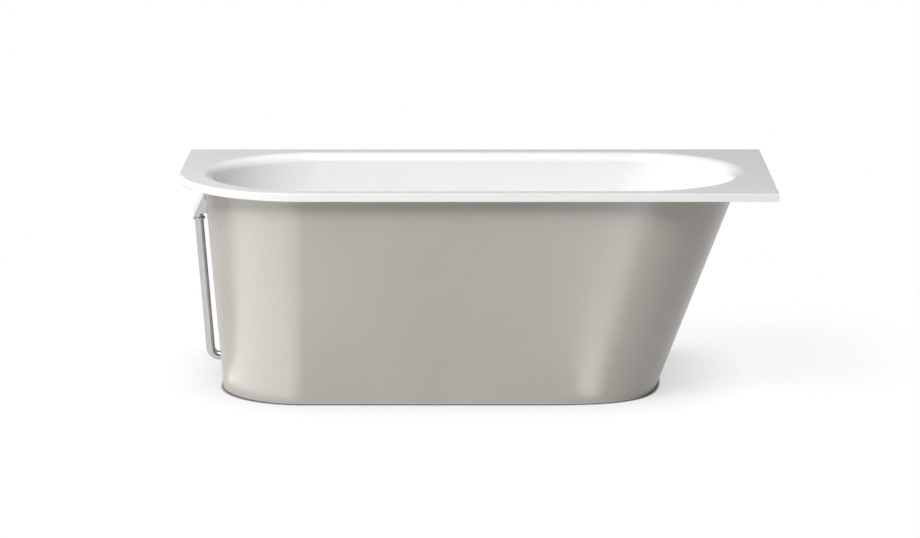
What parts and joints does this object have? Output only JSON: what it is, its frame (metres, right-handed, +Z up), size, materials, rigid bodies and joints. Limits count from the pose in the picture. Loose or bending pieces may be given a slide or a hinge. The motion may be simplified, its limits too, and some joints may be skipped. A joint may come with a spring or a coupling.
{
  "type": "built-in bathtub",
  "caption": "Wall-corner bath: slab rim with one rounded corner, oval basin, leaning skirt panel, outside chrome overflow pipe, click drain plug and levelling feet.",
  "frame": {"origin": "on the floor under the middle of the rim rectangle", "axes": "+X along the bath to its square right end, +Y towards the wall behind it, +Z up"},
  "size_m": [1.7, 0.75, 0.61],
  "materials": {
    "sanitary_white": "gloss sanitary acrylic",
    "skirt_grey": "warm grey satin",
    "chrome": "polished chrome",
    "brass": "plain brass",
    "board_wood": "raw board",
    "seal_rubber": "soft black",
    "pad_rubber": "moulded black",
    "clip_plastic": "moulded natural",
    "pipe_plastic": "moulded white",
    "zinc_steel": "zinc plated"
  },
  "bodies": {
    "tub": {"base_board": "board_wood", "bracket_screws": "zinc_steel", "click_cartridge": "brass", "clip_screws": "zinc_steel", "cross_rail_left": "zinc_steel", "cross_rail_right": "zinc_steel", "drain_flange": "chrome", "drain_gasket_bottom": "seal_rubber", "drain_gasket_top": "seal_rubber", "link_coupling": "pipe_plastic", "link_nut": "pipe_plastic", "link_pipe": "pipe_plastic", "lock_nuts": "zinc_steel", "outlet_nut": "pipe_plastic", "outlet_pipe": "pipe_plastic", "overflow_collar": "chrome", "overflow_cover": "chrome", "overflow_hood": "chrome", "overflow_nut": "brass", "overflow_pipe": "chrome", "overflow_rosette": "chrome", "overflow_seal": "seal_rubber", "overflow_sleeve": "brass", "pipe_grommet": "seal_rubber", "rail_screws": "zinc_steel", "rim_clips": "clip_plastic", "skirt_panel": "skirt_grey", "skirt_seal": "seal_rubber", "skirt_stay_left": "zinc_steel", "skirt_stay_right": "zinc_steel", "stay_screws": "zinc_steel", "trap_cup": "pipe_plastic", "trap_inlet_seal": "seal_rubber", "trap_lid": "pipe_plastic", "trap_lid_seal": "seal_rubber", "trap_nut": "pipe_plastic", "tub_shell": "sanitary_white", "wall_bracket_back_left": "zinc_steel", "wall_bracket_back_right": "zinc_steel", "wall_bracket_end": "zinc_steel", "waste_body": "pipe_plastic", "weld_nuts": "zinc_steel"},
    "plug": {"plug_cap": "chrome", "plug_sleeve": "brass", "plug_seal": "seal_rubber"},
    "foot_front_left": {"foot_pad_front_left": "pad_rubber", "foot_spindle_front_left": "zinc_steel"},
    "foot_front_right": {"foot_pad_front_right": "pad_rubber", "foot_spindle_front_right": "zinc_steel"},
    "foot_back_left": {"foot_pad_back_left": "pad_rubber", "foot_spindle_back_left": "zinc_steel"},
    "foot_back_right": {"foot_pad_back_right": "pad_rubber", "foot_spindle_back_right": "zinc_steel"}
  },
  "joints": [
    {"name": "plug_slide", "type": "slide", "parent": "tub", "child": "plug", "axis": [0, 0, 1], "range_m": [0, 0.009]},
    {"name": "foot_front_left_level", "type": "slide", "parent": "tub", "child": "foot_front_left", "axis": [0, 0, -1], "range_m": [-0.01, 0.02]},
    {"name": "foot_front_right_level", "type": "slide", "parent": "tub", "child": "foot_front_right", "axis": [0, 0, -1], "range_m": [-0.01, 0.02]},
    {"name": "foot_back_left_level", "type": "slide", "parent": "tub", "child": "foot_back_left", "axis": [0, 0, -1], "range_m": [-0.01, 0.02]},
    {"name": "foot_back_right_level", "type": "slide", "parent": "tub", "child": "foot_back_right", "axis": [0, 0, -1], "range_m": [-0.01, 0.02]}
  ]
}
